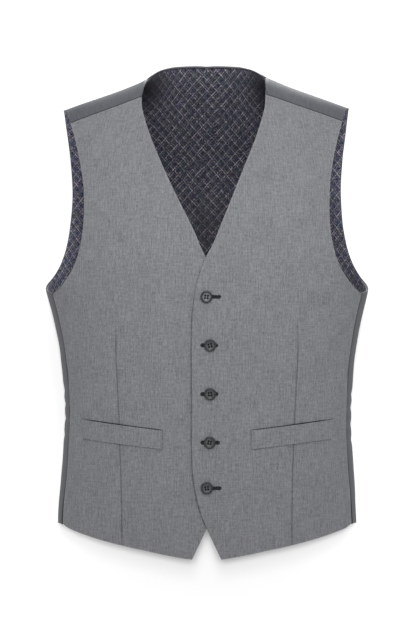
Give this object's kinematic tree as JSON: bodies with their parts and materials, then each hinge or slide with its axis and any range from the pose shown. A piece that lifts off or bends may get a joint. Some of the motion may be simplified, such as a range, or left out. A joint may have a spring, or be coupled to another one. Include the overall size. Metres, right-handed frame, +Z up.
{
  "type": "suit waistcoat",
  "caption": "Single-breasted suit waistcoat in grey wool with a V neck, notched pointed fronts, welt pockets, satin back and trellis lining, buttoned and filled out as when worn.",
  "frame": {"origin": "midway between the shoulders, at the height of the middle of the shoulder line, where the wearer's shoulders hold the garment", "axes": "+Z up, the garment's front faces -Y, +X towards the wearer's left"},
  "size_m": [0.421, 0.2473, 0.6354],
  "materials": {
    "suiting": "matt melange worsted wool",
    "satin": "soft satin weave",
    "lining": "jacquard trellis lining, soft sheen",
    "button": "polished resin, softly worn"
  },
  "bodies": {
    "root": {"front_left": "suiting", "front_right": "suiting", "back_left": "satin", "back_right": "satin", "back_lining_left": "lining", "back_lining_right": "lining", "pocket_welt_left": "suiting", "pocket_welt_right": "suiting", "button_1": "button", "button_2": "button", "button_3": "button", "button_4": "button", "button_5": "button"}
  },
  "joints": []
}
